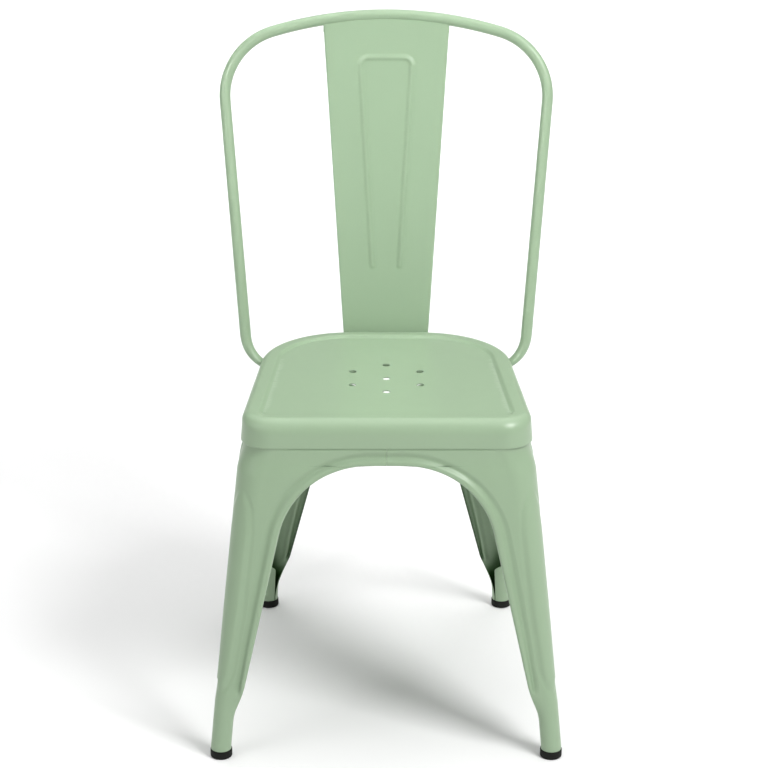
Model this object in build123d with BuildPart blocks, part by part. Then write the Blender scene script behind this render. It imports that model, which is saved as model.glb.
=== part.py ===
from build123d import *
import math
import os

# Pressed-steel stacking chair. Millimetres, +Z up, floor at z = 0.
# +X is the sitter's left seen from the front, -Y is the front of the chair.
# The origin is on the floor under the middle of the whole chair.

# --- driving dimensions -------------------------------------------------------
SHEET = 1.2                 # thickness of every pressed sheet
SEAT_Y = -17.0              # the drain-hole pattern's middle, along Y
RIM_Z = 440.0               # top of the seat's rim
SKIRT_Z = 401.0             # bottom edge of the seat's skirt
SEAT_FRONT_Y = SEAT_Y - 172.0
SEAT_REAR_Y = SEAT_Y + 181.5
SEAT_FRONT_HALF = 184.4     # half width of the seat where the front corners would meet
SEAT_REAR_HALF = 159.2
SEAT_FRONT_RADIUS = 40.0
SEAT_REAR_RADIUS = 120.0
RIM_ROLL = 12.0             # radius of the rolled edge between rim and skirt
RIM_WIDTH = 20.0
PANEL_DROP = 3.0            # the panel lies this much below the rim
PANEL_STEP_SLANT = 40.0     # degrees the step between them leans
HOLE_CIRCLE = 51.0          # radius of the ring of drain holes
HOLE_RADIUS = 5.0

APRON_Z = 381.3             # underside of the aprons, at the top of each arch
COLLAR_TOP_Z = 426.0        # the legs reach this high inside the skirt
SHOULDER_Z = 386.0          # below this the legs run straight
SPRING_Z = 285.0            # the arches have turned into straight leg edges
KNEE_Z = 107.0              # the legs start to close into tubes
ANKLE_Z = 44.0              # the legs are tubes from here down
TUBE_RADIUS = 13.0
TUBE_END_Z = 4.0
FOOT_Z = 15.0               # the tubes stand upright below this
SEAM_GAP = 0.4              # between two legs that meet in the middle of an apron
SIDE_SEAM = 4.5             # the side aprons' seams lie this far behind SEAT_Y
LIP_HIGH = 3.0              # how far the rolled lip stands out
BLANK_SPARE = 4.0           # sheet left beyond the leg's edge where it closes into a tube
LIP_RUN_OUT = 10.0          # the rolled edge stops this far below the knee
SLIT_AT = 135.0             # where the tube's open seam faces, in degrees
SLIT_HALF = 5.0             # half of the seam's opening, in degrees
LIP_TOP = 12.0              # width of the rolled lip along the arches
ARCH_CUT = 60.0             # how far the arch cutter reaches each way out of its face
ARCH_SPARE = 30.0           # and past the middle of the apron

CAP_RADIUS = 14.0
CAP_HEIGHT = 11.0

HOOP_RADIUS = 7.5
HOOP_WALL = 1.5
HOOP_LEAN = 17.74           # degrees the hoop leans back
HOOP_BASE_Z = 460.0         # a height at which the hoop's sides are straight
HOOP_BASE_Y = SEAT_Y + 130.0
HOOP_BASE_HALF = 191.4
HOOP_SPREAD = 0.0858        # how fast the sides open, per mm of length
HOOP_LENGTH = 423.0         # from HOOP_BASE_Z to the middle of the crown, along the lean
HOOP_CROWN_RADIUS = 540.0
HOOP_CORNER_RADIUS = 90.0
HOOP_STRAIGHT = 8.0         # the sides stay straight this far below HOOP_BASE_Z
HOOP_END_Z = 408.0          # height at which the hoop's ends meet the skirt
HOOP_END_BEND = 34.0        # how strongly each end leaves its side, then meets the skirt
HOOP_END_REACH = (9.0, 4.0)
HOOP_END_TURN = 26.0        # where on the rear corner they meet it, in degrees
# how the hoop's ends flatten: share of the way, half width, half thickness
HOOP_END_SHAPES = ((0.0, 7.5, 7.5), (0.35, 8.5, 6.5), (0.7, 10.0, 4.8), (1.0, 11.0, 3.5))

SPLAT_LEAN = 0.175          # how fast the splat leans back, per mm of height
SPLAT_BEND_Z = 452.0        # below this the splat stands upright against the skirt
SPLAT_BEND_RADIUS = 60.0
SPLAT_TOP_Z = 862.0
SPLAT_LOW_Z = 404.0
SPLAT_HALF_LOW = 58.8       # half width at RIM_Z
SPLAT_SPREAD = 0.0641       # how fast the splat widens upwards
SPLAT_RETURN = 10.0         # depth of the folded-back side edges
BEAD_TOP_Z = 808.0
BEAD_LOW_Z = 529.0
BEAD_HALF_LOW = 18.6
BEAD_HALF_TOP = 35.3
BEAD_CORNER = 11.0
BEAD_RADIUS = 6.0
BEAD_HIGH = 2.0

SPLAT_REACH = 100.0         # wider than the splat, for cutting it to shape
CUT_SPARE = 20.0            # how far cutters reach past what they cut

BRACE_HIGH = 20.0
BRACE_THICK = 3.0
BRACE_TOP_Z = 409.0
BRACE_Y = SEAT_Y
BRACE_LONG = 480.0          # before it's trimmed between the legs
BRACE_TURN = 45.0           # degrees from the chair's sides

SEAT_TAPER = math.atan2(
    SEAT_FRONT_HALF - SEAT_REAR_HALF, SEAT_REAR_Y - SEAT_FRONT_Y
)

# how far each corner of the tapered outline moves in x when the outline moves in by 1
FRONT_INSET = (1 + math.sin(SEAT_TAPER)) / math.cos(SEAT_TAPER)
REAR_INSET = (1 - math.sin(SEAT_TAPER)) / math.cos(SEAT_TAPER)

ANKLE_HEIGHTS = (KNEE_Z, 95.0, 83.0, 71.0, 58.0, ANKLE_Z, FOOT_Z, TUBE_END_Z)

# Per leg: outer corner at the collar, outer corner below the shoulder carried up to
# SKIRT_Z, outer corner at FOOT_Z, corner radii from the collar down to the knee, the
# turn of the side flange and where it meets the next leg's. Then, for the cross flange
# and for the side flange: the arch's radius, and the flange's width at SPRING_Z and at
# KNEE_Z. Rear legs are described mirrored front to back.
FRONT_LEG = {
    "collar": (SEAT_FRONT_HALF - SHEET * FRONT_INSET, SEAT_FRONT_Y + SHEET),
    "skirt": (187.7, SEAT_FRONT_Y + SHEET),
    "foot": (224.2, SEAT_Y - 231.8),
    "radii": (SEAT_FRONT_RADIUS - SHEET, 36.0, 27.5, 15.5),
    "turn": SEAT_TAPER,
    "side_seam_y": SEAT_Y + SIDE_SEAM,
    "arch_radii": (113.0, 113.0),
    "flanges": ((61.9, 38.1), (61.9, 38.1)),
}
REAR_LEG = {
    "collar": (SEAT_REAR_HALF - SHEET * REAR_INSET, -(SEAT_REAR_Y - SHEET)),
    "skirt": (162.8, -(SEAT_REAR_Y - SHEET)),
    "foot": (183.0, -(SEAT_Y + 240.0)),
    "radii": (SEAT_REAR_RADIUS - SHEET, 104.0, 46.0, 16.5),
    "turn": -SEAT_TAPER,
    "side_seam_y": -(SEAT_Y + SIDE_SEAM),
    "arch_radii": (72.0, 113.0),
    "flanges": ((84.4, 47.7), (61.9, 38.1)),
}


def between(low, high, share):
    """The value that lies this share of the way from low to high."""
    return low + (high - low) * share


def across(point, other, share):
    """The point that lies this share of the way from one point to another."""
    return tuple(between(a, b, share) for a, b in zip(point, other))


# --- legs ---------------------------------------------------------------------
def leg_corner(leg, z):
    """Where the two outer faces of a leg would meet at height z."""
    if z >= SKIRT_Z:
        return leg["collar"]
    share = (SKIRT_Z - max(z, FOOT_Z)) / (SKIRT_Z - FOOT_Z)
    return across(leg["skirt"], leg["foot"], share)


def leg_radius(leg, z):
    """Outer corner radius of a leg at height z."""
    heights = (SKIRT_Z, SHOULDER_Z, SPRING_Z, KNEE_Z, ANKLE_Z)
    radii = leg["radii"] + (TUBE_RADIUS,)
    if z >= heights[0]:
        return radii[0]
    for i in range(len(heights) - 1):
        if z >= heights[i + 1]:
            share = (heights[i] - z) / (heights[i] - heights[i + 1])
            return between(radii[i], radii[i + 1], share)
    return TUBE_RADIUS


def flange_width(leg, side, z):
    """Distance from a leg's outer corner to its rolled edge, below the arches."""
    spring, knee = leg["flanges"][side]
    return between(knee, spring, (z - KNEE_Z) / (SPRING_Z - KNEE_Z))


def leg_points(leg, z, widths, offset):
    """Seven points along the leg's sheet at height z, from one flange edge to the other."""
    turn = leg["turn"]
    corner = Vector(*leg_corner(leg, z))
    radius = leg_radius(leg, z)
    reach = radius / math.tan((math.pi / 2 - turn) / 2)
    cross_way = Vector(-1, 0)
    side_way = Vector(-math.sin(turn), math.cos(turn))
    cross_out = Vector(0, -1)
    side_out = Vector(math.cos(turn), math.sin(turn))
    centre = corner + cross_way * reach - cross_out * radius
    start = centre + cross_out * (radius - offset)
    end = centre + side_out * (radius - offset)
    cross_end = start + cross_way * (widths[0] - reach)
    side_end = end + side_way * (widths[1] - reach)
    middle = centre + (cross_out + side_out).normalized() * (radius - offset)
    angle = [
        cross_end,
        (cross_end + start) * 0.5,
        start,
        middle,
        end,
        (end + side_end) * 0.5,
        side_end,
    ]
    closed = min(max((KNEE_Z - z) / (KNEE_Z - ANKLE_Z), 0.0), 1.0)
    closed = closed * closed * (3 - 2 * closed)
    # the same seven points on the closed tube, by their angles round its middle
    low, high = -90.0, math.degrees(turn)
    first, last = SLIT_AT - 360 + SLIT_HALF, SLIT_AT - SLIT_HALF
    turns = (first, (first + low) / 2, low, (low + high) / 2, high, (high + last) / 2, last)
    tube_middle = corner + Vector(-TUBE_RADIUS, TUBE_RADIUS)
    tube = [
        tube_middle + Vector(TUBE_RADIUS - offset, 0).rotate(Axis.Z, a) for a in turns
    ]
    return [a * (1 - closed) + t * closed for a, t in zip(angle, tube)]


def leg_section(leg, z, widths):
    """Closed outline of the leg's sheet at height z, for flanges of these widths."""
    outer = leg_points(leg, z, widths, 0.0)
    inner = leg_points(leg, z, widths, SHEET)
    lift = Vector(0, 0, z)
    edges = []
    for run in (outer, inner):
        for i in (0, 2, 4):
            start, middle, end = (point + lift for point in run[i : i + 3])
            if z >= KNEE_Z and i != 2:
                edges.append(Edge.make_line(start, end))
            else:
                edges.append(Edge.make_three_point_arc(start, middle, end))
    for i in (0, 6):
        edges.append(Edge.make_line(outer[i] + lift, inner[i] + lift))
    return Face(Wire(edges))


def arch(leg, side):
    """The plane of one of the leg's faces, its origin where the apron's underside meets
    the seam; where the straight leg edge, carried up, meets that underside; its slope."""
    low_z, high_z = SPRING_Z, APRON_Z
    low = Vector(*leg_corner(leg, low_z), low_z)
    high = Vector(*leg_corner(leg, high_z), high_z)
    turn = leg["turn"]
    way = Vector(-math.sin(turn), math.cos(turn)) if side else Vector(-1, 0)
    up = (high - low).normalized()
    # the middle of the apron, where the two legs meet
    if side:
        seam = high + way * ((leg["side_seam_y"] - high.Y) / way.Y)
    else:
        seam = high + way * high.X
    plane = Plane(origin=seam, x_dir=way * -1, z_dir=up.cross(way))
    foot = plane.to_local_coords(low + way * flange_width(leg, side, low_z))
    head = plane.to_local_coords(high + way * flange_width(leg, side, high_z))
    slope = (foot.X - head.X) / (foot.Y - head.Y)
    return plane, head.X - slope * head.Y, slope


def lip_profile(plane, width):
    """Cross-section of a rolled lip that rises from its edge at the plane's origin."""
    radius = (width**2 / 4 + LIP_HIGH**2) / (2 * LIP_HIGH)
    with BuildSketch(plane) as profile:
        with Locations((width / 2, LIP_HIGH - radius)):
            Circle(radius)
            Circle(radius - SHEET, mode=Mode.SUBTRACT)
        with Locations((width / 2, LIP_HIGH / 2 - SHEET)):
            Rectangle(width, LIP_HIGH + 2 * SHEET, mode=Mode.INTERSECT)
    return profile.sketch


def pressed_leg(leg):
    """Adds a leg to the part being built: its angle, arches, lips and foot."""
    sections = []
    for z in (COLLAR_TOP_Z, SKIRT_Z, SHOULDER_Z, SPRING_Z):
        corner_x, corner_y = leg_corner(leg, z)
        cross = corner_x - SEAM_GAP / 2
        side = (leg["side_seam_y"] - corner_y) / math.cos(leg["turn"]) - SEAM_GAP / 2
        sections.append(leg_section(leg, z, (cross, side)))
    for z in ANKLE_HEIGHTS:
        widths = [flange_width(leg, side, z) + BLANK_SPARE for side in (False, True)]
        sections.append(leg_section(leg, z, widths))
    loft(sections=sections, ruled=True)
    for side, radius in zip((False, True), leg["arch_radii"]):
        plane, meet, slope = arch(leg, side)
        low = (KNEE_Z - LIP_RUN_OUT - APRON_Z) / plane.y_dir.Z
        with BuildSketch(plane) as opening:
            with BuildLine():
                path = FilletPolyline(
                    (-ARCH_SPARE, 0.0), (meet, 0.0), (meet + slope * low, low), radius=radius
                )
                Polyline(path @ 1, (-ARCH_SPARE, low), (-ARCH_SPARE, 0.0))
            make_face()
        extrude(opening.sketch, amount=ARCH_CUT, both=True, mode=Mode.SUBTRACT)
    for side, radius in zip((False, True), leg["arch_radii"]):
        plane, meet, slope = arch(leg, side)
        low = (KNEE_Z - APRON_Z) / plane.y_dir.Z
        with BuildLine(mode=Mode.PRIVATE) as edge:
            FilletPolyline(
                (SEAM_GAP / 2, 0.0), (meet, 0.0), (meet + slope * low, low), radius=radius
            )
        path = edge.wire().moved(plane.location)
        # the profile stands across the start of the edge, its x up and its y outward
        outward = plane.z_dir * (-1 if side else 1)
        start = Plane(
            origin=path @ 0, x_dir=plane.y_dir, z_dir=plane.y_dir.cross(outward)
        )
        sweep(lip_profile(start, LIP_TOP), path=path)


with BuildPart() as front_right_leg:
    pressed_leg(FRONT_LEG)

with BuildPart() as front_left_leg:
    mirror(front_right_leg.part, about=Plane.YZ)

with BuildPart() as rear_right_leg:
    pressed_leg(REAR_LEG)
    mirror(about=Plane.XZ, mode=Mode.REPLACE)

with BuildPart() as rear_left_leg:
    mirror(rear_right_leg.part, about=Plane.YZ)


# --- seat pan -----------------------------------------------------------------
def seat_outline(z, inset):
    """The seat seen from above, moved inwards by inset, at height z."""
    middle_y = (SEAT_FRONT_Y + SEAT_REAR_Y) / 2
    with BuildSketch(Plane.XY.offset(z)) as outline:
        with BuildLine():
            Polyline(
                (-SEAT_FRONT_HALF, SEAT_FRONT_Y),
                (SEAT_FRONT_HALF, SEAT_FRONT_Y),
                (SEAT_REAR_HALF, SEAT_REAR_Y),
                (-SEAT_REAR_HALF, SEAT_REAR_Y),
                close=True,
            )
        make_face()
        front = outline.vertices().filter_by(lambda v: v.Y < middle_y)
        fillet(front, SEAT_FRONT_RADIUS)
        rear = outline.vertices().group_by(Axis.Y)[-1]
        fillet(rear, SEAT_REAR_RADIUS)
        if inset:
            offset(amount=-inset)
    return outline.sketch


def pan_block(inset, low_z, top_z, roll):
    """A solid block in the shape of the pan, panel already sunk; moved in by inset."""
    with BuildPart() as block:
        extrude(seat_outline(low_z, inset), amount=top_z - low_z)
        fillet(block.faces().sort_by(Axis.Z)[-1].edges(), roll)
        extrude(
            seat_outline(top_z, RIM_WIDTH),
            amount=-PANEL_DROP,
            taper=PANEL_STEP_SLANT,
            mode=Mode.SUBTRACT,
        )
    return block.part


with BuildPart() as seat_pan:
    add(pan_block(0.0, SKIRT_Z, RIM_Z, RIM_ROLL))
    add(
        pan_block(SHEET, SKIRT_Z - SHEET, RIM_Z - SHEET, RIM_ROLL - SHEET),
        mode=Mode.SUBTRACT,
    )
    with BuildSketch(Plane.XY.offset(RIM_Z)) as drain_holes:
        with Locations((0, SEAT_Y)):
            Circle(HOLE_RADIUS)
            with PolarLocations(HOLE_CIRCLE, 6, start_angle=90):
                Circle(HOLE_RADIUS)
    extrude(amount=-(PANEL_DROP + 3 * SHEET), mode=Mode.SUBTRACT)

# --- backrest hoop ------------------------------------------------------------
lean = math.radians(HOOP_LEAN)
hoop_plane = Plane(
    origin=(0, HOOP_BASE_Y, HOOP_BASE_Z),
    x_dir=(1, 0, 0),
    z_dir=(0, -math.cos(lean), math.sin(lean)),
)
# centre of the corner arc: tangent to the crown inside it and to the straight side
side_angle = math.atan(HOOP_SPREAD)
crown_y = HOOP_LENGTH - HOOP_CROWN_RADIUS
arc_gap = HOOP_CROWN_RADIUS - HOOP_CORNER_RADIUS
line_x = HOOP_BASE_HALF - HOOP_CORNER_RADIUS / math.cos(side_angle)
square = 1 + HOOP_SPREAD**2
half_linear = line_x * HOOP_SPREAD - crown_y
constant = line_x**2 + crown_y**2 - arc_gap**2
corner_y = (math.sqrt(half_linear**2 - square * constant) - half_linear) / square
corner_x = line_x + HOOP_SPREAD * corner_y
crown_turn = math.atan2(corner_x, corner_y - crown_y)
corner_centre = Vector(corner_x, corner_y)


def on_corner(angle):
    """A point on the right corner arc, by its angle from straight up."""
    return corner_centre + Vector(
        HOOP_CORNER_RADIUS * math.sin(angle), HOOP_CORNER_RADIUS * math.cos(angle)
    )


crown_end = on_corner(crown_turn)
side_top = on_corner(math.pi / 2 + side_angle)
side_foot = Vector(HOOP_BASE_HALF - HOOP_SPREAD * HOOP_STRAIGHT, -HOOP_STRAIGHT)
corner_middle = on_corner((crown_turn + math.pi / 2 + side_angle) / 2)


def flipped(point):
    """The same point on the left side of the hoop."""
    return Vector(-point.X, point.Y)


foot_point = hoop_plane.from_local_coords(side_foot)
down = (foot_point - hoop_plane.from_local_coords(side_top)).normalized()
# each end bends inwards, flattens and meets the skirt where it rounds the rear corner
rear_reach = SEAT_REAR_RADIUS / math.tan((math.pi / 2 + SEAT_TAPER) / 2)
rear_arc_centre = Vector(SEAT_REAR_HALF - rear_reach, SEAT_REAR_Y - SEAT_REAR_RADIUS)
end_out = Vector(1, 0, 0).rotate(Axis.Z, HOOP_END_TURN)
end_point = rear_arc_centre + end_out * (SEAT_REAR_RADIUS - SHEET) + Vector(0, 0, HOOP_END_Z)
end_curve = Bezier(
    foot_point,
    foot_point + down * HOOP_END_BEND,
    end_point + end_out * HOOP_END_REACH[0] + Vector(0, 0, HOOP_END_REACH[1]),
    end_point,
)



def hoop_end_sections(inset):
    """Ellipses across the flattening end of the hoop, each smaller by inset."""
    sections = []
    for share, wide, deep in HOOP_END_SHAPES:
        ahead = end_curve % share
        level = Vector(0, 1, 0)
        level = (level - ahead * level.dot(ahead)).normalized()
        with BuildSketch(Plane(origin=end_curve @ share, x_dir=level, z_dir=ahead)) as flat:
            Ellipse(wide - inset, deep - inset)
        sections.append(flat.sketch)
    return sections


with BuildPart() as back_hoop:
    with BuildLine() as hoop_path:
        Line(flipped(side_foot), flipped(side_top))
        ThreePointArc(flipped(side_top), flipped(corner_middle), flipped(crown_end))
        ThreePointArc(flipped(crown_end), Vector(0, HOOP_LENGTH), crown_end)
        ThreePointArc(crown_end, corner_middle, side_top)
        Line(side_top, side_foot)
    hoop_wire = hoop_path.wire().moved(hoop_plane.location)
    with BuildSketch(Plane(origin=hoop_wire @ 0, z_dir=hoop_wire % 0)) as tube:
        Circle(HOOP_RADIUS)
        Circle(HOOP_RADIUS - HOOP_WALL, mode=Mode.SUBTRACT)
    sweep(tube.sketch, path=hoop_wire)
    with BuildPart(mode=Mode.PRIVATE) as hoop_end:
        loft(sections=hoop_end_sections(0.0))
        loft(sections=hoop_end_sections(HOOP_WALL), mode=Mode.SUBTRACT)
        extrude(
            seat_outline(SKIRT_Z - CUT_SPARE, 0.0), amount=3 * CUT_SPARE, mode=Mode.SUBTRACT
        )
    add(hoop_end.part)
    add(mirror(hoop_end.part, about=Plane.YZ, mode=Mode.PRIVATE))

# --- splat --------------------------------------------------------------------
splat_tilt = math.atan(SPLAT_LEAN)
splat_face_y = SEAT_REAR_Y + SPLAT_LEAN * (SPLAT_TOP_Z - SPLAT_BEND_Z)
splat_plane = Plane(
    origin=(0, SEAT_REAR_Y, SPLAT_BEND_Z),
    x_dir=(1, 0, 0),
    z_dir=(0, -math.cos(splat_tilt), math.sin(splat_tilt)),
)


def splat_half(z):
    """Half width of the splat at height z."""
    return SPLAT_HALF_LOW + SPLAT_SPREAD * (z - RIM_Z)


def splat_side_profile(depth):
    """The splat seen from the side: upright foot, bend and leaning face, this deep."""
    with BuildSketch(Plane.YZ) as profile:
        with BuildLine():
            face = FilletPolyline(
                (SEAT_REAR_Y, SPLAT_LOW_Z),
                (SEAT_REAR_Y, SPLAT_BEND_Z),
                (splat_face_y, SPLAT_TOP_Z),
                radius=SPLAT_BEND_RADIUS,
            )
            # the offset comes back joined to the face by its two short ends
            add(offset(face, amount=depth, side=Side.RIGHT, mode=Mode.PRIVATE))
        make_face()
    return profile.sketch


def splat_front_outline(inset):
    """The splat seen from the front, moved in from its sides by inset."""
    low, high = SPLAT_LOW_Z - CUT_SPARE, SPLAT_TOP_Z + CUT_SPARE
    with BuildSketch(Plane.XZ) as outline:
        Polygon(
            (splat_half(low) - inset, low),
            (splat_half(high) - inset, high),
            (-splat_half(high) + inset, high),
            (-splat_half(low) + inset, low),
            align=None,
        )
    return outline.sketch


with BuildPart() as back_splat:
    extrude(splat_side_profile(SPLAT_RETURN), amount=SPLAT_REACH, both=True)
    extrude(splat_front_outline(0.0), amount=SPLAT_REACH * 3, both=True, mode=Mode.INTERSECT)
    with BuildPart(mode=Mode.PRIVATE) as hollow:
        extrude(splat_side_profile(SPLAT_RETURN * 3), amount=SPLAT_REACH, both=True)
        extrude(splat_side_profile(SHEET), amount=SPLAT_REACH, both=True, mode=Mode.SUBTRACT)
        extrude(
            splat_front_outline(SHEET), amount=SPLAT_REACH * 3, both=True, mode=Mode.INTERSECT
        )
    add(hollow.part, mode=Mode.SUBTRACT)
    add(back_hoop.part, mode=Mode.SUBTRACT)
    # keep the sheet below the hoop, not the sliver above it
    add(back_splat.solids().sort_by(Axis.Z)[0], mode=Mode.REPLACE)
    # the raised bead: an upside-down U with domed ends
    bead_low = Vector(BEAD_HALF_LOW, (BEAD_LOW_Z - SPLAT_BEND_Z) / math.cos(splat_tilt))
    bead_top = Vector(BEAD_HALF_TOP, (BEAD_TOP_Z - SPLAT_BEND_Z) / math.cos(splat_tilt))
    bead_plane = splat_plane.offset(BEAD_HIGH - BEAD_RADIUS)
    with BuildLine() as bead_path:
        FilletPolyline(
            bead_low, bead_top, flipped(bead_top), flipped(bead_low), radius=BEAD_CORNER
        )
    bead_wire = bead_path.wire().moved(bead_plane.location)
    bead_start = Plane(origin=bead_wire @ 0, z_dir=bead_wire % 0)
    for radius, way in ((BEAD_RADIUS, Mode.ADD), (BEAD_RADIUS - SHEET, Mode.SUBTRACT)):
        with BuildPart(mode=Mode.PRIVATE) as rod:
            with BuildSketch(bead_start) as round_bar:
                Circle(radius)
            sweep(round_bar.sketch, path=bead_wire)
            with Locations(bead_wire @ 0, bead_wire @ 1):
                Sphere(radius)
            if way == Mode.ADD:
                split(bisect_by=splat_plane.offset(-SHEET), keep=Keep.TOP)
        add(rod.part, mode=way)

# --- feet ---------------------------------------------------------------------
def foot_middle(leg):
    """The middle of a leg's tube where it stands on its foot."""
    corner_x, corner_y = leg_corner(leg, FOOT_Z)
    return corner_x - TUBE_RADIUS, corner_y + TUBE_RADIUS


def rubber_foot(middle):
    """Adds a rubber cup round the end of a leg's tube."""
    with BuildSketch() as base:
        with Locations(middle):
            Circle(CAP_RADIUS)
    extrude(base.sketch, amount=CAP_HEIGHT)
    with BuildSketch(Plane.XY.offset(TUBE_END_Z)) as bore:
        with Locations(middle):
            Circle(TUBE_RADIUS)
    extrude(bore.sketch, amount=CAP_HEIGHT, mode=Mode.SUBTRACT)


front_foot_x, front_foot_y = foot_middle(FRONT_LEG)
rear_foot_x, rear_foot_y = foot_middle(REAR_LEG)

with BuildPart() as front_right_foot:
    rubber_foot((front_foot_x, front_foot_y))

with BuildPart() as front_left_foot:
    rubber_foot((-front_foot_x, front_foot_y))

with BuildPart() as rear_right_foot:
    rubber_foot((rear_foot_x, -rear_foot_y))

with BuildPart() as rear_left_foot:
    rubber_foot((-rear_foot_x, -rear_foot_y))


# --- cross brace --------------------------------------------------------------
def brace_strip(turn, slot_from_top):
    """Adds a strip on edge from leg corner to leg corner, slotted where it crosses."""
    with BuildSketch(Plane.XY.offset(BRACE_TOP_Z - BRACE_HIGH)) as strip:
        with Locations(Location((0, BRACE_Y, 0), (0, 0, turn))):
            Rectangle(BRACE_LONG, BRACE_THICK)
    extrude(strip.sketch, amount=BRACE_HIGH)
    low = BRACE_TOP_Z - BRACE_HIGH / 2 if slot_from_top else BRACE_TOP_Z - BRACE_HIGH
    with BuildSketch(Plane.XY.offset(low)) as slot:
        with Locations(Location((0, BRACE_Y, 0), (0, 0, -turn))):
            Rectangle(BRACE_LONG, BRACE_THICK)
    extrude(slot.sketch, amount=BRACE_HIGH / 2, mode=Mode.SUBTRACT)
    for leg in (front_left_leg, front_right_leg, rear_left_leg, rear_right_leg):
        add(leg.part, mode=Mode.SUBTRACT)


with BuildPart() as brace_upper_strip:
    brace_strip(BRACE_TURN, slot_from_top=False)
    add(brace_upper_strip.solids().sort_by(SortBy.VOLUME)[-1], mode=Mode.REPLACE)

with BuildPart() as brace_lower_strip:
    brace_strip(-BRACE_TURN, slot_from_top=True)
    add(brace_lower_strip.solids().sort_by(SortBy.VOLUME)[-1], mode=Mode.REPLACE)

# --- files --------------------------------------------------------------------
NODES = {
    "seat_pan": seat_pan,
    "front_left_leg": front_left_leg,
    "front_right_leg": front_right_leg,
    "rear_left_leg": rear_left_leg,
    "rear_right_leg": rear_right_leg,
    "back_hoop": back_hoop,
    "back_splat": back_splat,
    "brace_upper_strip": brace_upper_strip,
    "brace_lower_strip": brace_lower_strip,
    "front_left_foot": front_left_foot,
    "front_right_foot": front_right_foot,
    "rear_left_foot": rear_left_foot,
    "rear_right_foot": rear_right_foot,
}

os.makedirs("parts", exist_ok=True)
for label, node in NODES.items():
    node.part.label = label
    export_step(node.part, f"parts/{label}.step")
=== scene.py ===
import math

import bmesh
import bpy
import numpy as np
from mathutils import Matrix, Vector, geometry


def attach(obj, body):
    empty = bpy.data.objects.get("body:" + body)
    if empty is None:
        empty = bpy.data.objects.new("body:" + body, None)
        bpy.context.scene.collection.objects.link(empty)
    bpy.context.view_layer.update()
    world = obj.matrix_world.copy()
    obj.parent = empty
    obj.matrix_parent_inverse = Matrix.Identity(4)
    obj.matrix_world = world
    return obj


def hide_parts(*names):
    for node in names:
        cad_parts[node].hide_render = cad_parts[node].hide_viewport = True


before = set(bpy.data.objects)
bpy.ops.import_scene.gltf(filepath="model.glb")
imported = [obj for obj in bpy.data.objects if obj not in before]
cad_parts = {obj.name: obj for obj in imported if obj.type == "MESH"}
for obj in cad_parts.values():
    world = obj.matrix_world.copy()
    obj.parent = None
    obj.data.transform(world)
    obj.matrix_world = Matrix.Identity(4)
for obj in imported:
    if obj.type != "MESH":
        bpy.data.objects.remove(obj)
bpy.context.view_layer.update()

MM = 0.001

# Driving dimensions in millimetres. The origin is on the floor under the middle of the
# chair, the front of the seat faces -Y, and the rear legs are drawn mirrored in Y.
SHEET = 1.2
SEAT_Y = -17.0              # the drain-hole pattern's middle, along Y
RIM_Z = 440.0
SKIRT_Z = 401.0
HEM_Z = 403.3               # the visible lower edge of the skirt
HEM_FLARE = 2.0             # the skirt widens this much at the sides
HEM_TURN = 1.0              # the hem turns in this much
SEAT_FRONT_Y = SEAT_Y - 172.0
SEAT_REAR_Y = SEAT_Y + 181.5
SEAT_FRONT_HALF = 184.4     # half width where the front corners would meet
SEAT_REAR_HALF = 159.2
SEAT_FRONT_RADIUS = 40.0
SEAT_REAR_RADIUS = 120.0
APRON_Z = 381.3             # underside of the aprons, at the top of each arch
COLLAR_TOP_Z = 426.0        # the legs reach this high inside the skirt
SHOULDER_Z = 386.0
TUCK_FROM_Z = 366.0         # the legs' corners start to tuck in under the skirt
TUCK_TO_Z = 404.0
SPRING_Z = 285.0            # the arches have turned into straight leg edges
KNEE_Z = 107.0              # the legs start to close into tubes
ANKLE_Z = 54.0
FOOT_Z = 15.0               # the tubes stand upright below this
TUBE_END_Z = 4.0
TUBE_RADIUS = 13.0
SIDE_SEAM = 4.5             # the side aprons' seams lie this far behind SEAT_Y
SEAM_HALF = 0.25
SEAT_TAPER = math.atan2(SEAT_FRONT_HALF - SEAT_REAR_HALF, SEAT_REAR_Y - SEAT_FRONT_Y)
FRONT_INSET = (1 + math.sin(SEAT_TAPER)) / math.cos(SEAT_TAPER)
REAR_INSET = (1 - math.sin(SEAT_TAPER)) / math.cos(SEAT_TAPER)


def smooth(x):
    """0 below 0, 1 above 1, an S between."""
    x = min(max(x, 0.0), 1.0)
    return x * x * (3.0 - 2.0 * x)


def mix(a, b, share):
    return a + (b - a) * share


def evenly(a, b, count):
    """That many evenly spaced values that lead from a to b, without a itself."""
    return list(np.linspace(a, b, count + 1)[1:])


def circle(x, y, radius, steps, first=0.0):
    """Points evenly round a circle, the first one that share of a step along."""
    points = []
    for k in range(steps):
        a = 2 * math.pi * (k + first) / steps
        points.append((x + radius * math.cos(a), y + radius * math.sin(a)))
    return points


# --- meshes -------------------------------------------------------------------
def new_object(name, verts, faces, material, nodes):
    """Makes a smooth mesh object from millimetre points, riding on the chair."""
    mesh = bpy.data.meshes.new(name)
    mesh.from_pydata([tuple(c * MM for c in v) for v in verts], [], faces)
    mesh.validate()
    bm = bmesh.new()
    bm.from_mesh(mesh)
    bmesh.ops.recalc_face_normals(bm, faces=bm.faces)
    bm.to_mesh(mesh)
    bm.free()
    mesh.polygons.foreach_set("use_smooth", [True] * len(mesh.polygons))
    obj = bpy.data.objects.new(name, mesh)
    bpy.context.collection.objects.link(obj)
    mesh.materials.append(material)
    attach(obj, "root")
    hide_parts(*nodes)
    return obj


def round_edges(obj, width=0.45, angle=50.0):
    """Rounds the cut edges of a sheet."""
    bevel = obj.modifiers.new("cut edges", "BEVEL")
    bevel.width = width * MM
    bevel.segments = 2
    bevel.limit_method = "ANGLE"
    bevel.angle_limit = math.radians(angle)
    bevel.use_clamp_overlap = True


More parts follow.
